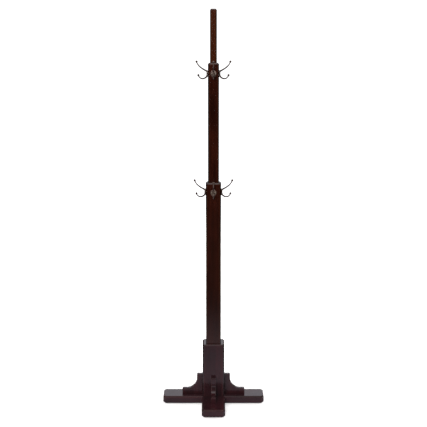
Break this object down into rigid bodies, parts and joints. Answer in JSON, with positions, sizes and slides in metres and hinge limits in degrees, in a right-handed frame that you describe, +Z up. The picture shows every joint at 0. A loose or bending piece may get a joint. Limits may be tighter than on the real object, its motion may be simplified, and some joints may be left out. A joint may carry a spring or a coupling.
{
  "type": "hall tree",
  "caption": "Free-standing wooden coat tree of three stepped square posts on a cross foot with brackets, carrying double ball-ended metal hooks at two heights.",
  "frame": {"origin": "on the floor, under the posts' axis, at the centre of the cross foot", "axes": "+Z up along the posts; -Y is the front; the four feet lie along +X, -X, +Y and -Y"},
  "size_m": [0.473, 0.473, 1.829],
  "materials": {
    "dark_wood": "dark espresso mahogany lacquer, satin to gloss",
    "dowel_wood": "unfinished hardwood",
    "hook_bronze": "dark oil-rubbed bronze, polished, with lighter wear on the raised parts",
    "screw_bronze": "antique bronze plated, satin",
    "hardware_steel": "zinc plated",
    "insert_brass": "plain turned brass",
    "glide_plastic": "moulded dark plastic"
  },
  "bodies": {
    "root": {"top_pole": "dark_wood", "middle_post": "dark_wood", "lower_post": "dark_wood", "base_block": "dark_wood", "foot_rail_left_right": "dark_wood", "foot_rail_front_back": "dark_wood", "bracket_front": "dark_wood", "bracket_right": "dark_wood", "bracket_back": "dark_wood", "bracket_left": "dark_wood", "block_dowel_1": "dowel_wood", "block_dowel_2": "dowel_wood", "bracket_dowel_front": "dowel_wood", "bracket_dowel_right": "dowel_wood", "bracket_dowel_back": "dowel_wood", "bracket_dowel_left": "dowel_wood", "pole_stud": "hardware_steel", "post_stud": "hardware_steel", "base_bolt": "hardware_steel", "base_washer": "hardware_steel", "bracket_screw_front": "hardware_steel", "bracket_screw_right": "hardware_steel", "bracket_screw_back": "hardware_steel", "bracket_screw_left": "hardware_steel", "pole_insert": "insert_brass", "post_insert": "insert_brass", "base_insert": "insert_brass", "glide_front": "glide_plastic", "glide_right": "glide_plastic", "glide_back": "glide_plastic", "glide_left": "glide_plastic", "upper_hook_front": "hook_bronze", "upper_hook_right": "hook_bronze", "upper_hook_back": "hook_bronze", "upper_hook_left": "hook_bronze", "lower_hook_front": "hook_bronze", "lower_hook_right": "hook_bronze", "lower_hook_back": "hook_bronze", "lower_hook_left": "hook_bronze", "upper_hook_front_screw_left": "screw_bronze", "upper_hook_front_screw_right": "screw_bronze", "upper_hook_right_screw_left": "screw_bronze", "upper_hook_right_screw_right": "screw_bronze", "upper_hook_back_screw_left": "screw_bronze", "upper_hook_back_screw_right": "screw_bronze", "upper_hook_left_screw_left": "screw_bronze", "upper_hook_left_screw_right": "screw_bronze", "lower_hook_front_screw_left": "screw_bronze", "lower_hook_front_screw_right": "screw_bronze", "lower_hook_right_screw_left": "screw_bronze", "lower_hook_right_screw_right": "screw_bronze", "lower_hook_back_screw_left": "screw_bronze", "lower_hook_back_screw_right": "screw_bronze", "lower_hook_left_screw_left": "screw_bronze", "lower_hook_left_screw_right": "screw_bronze"}
  },
  "joints": []
}
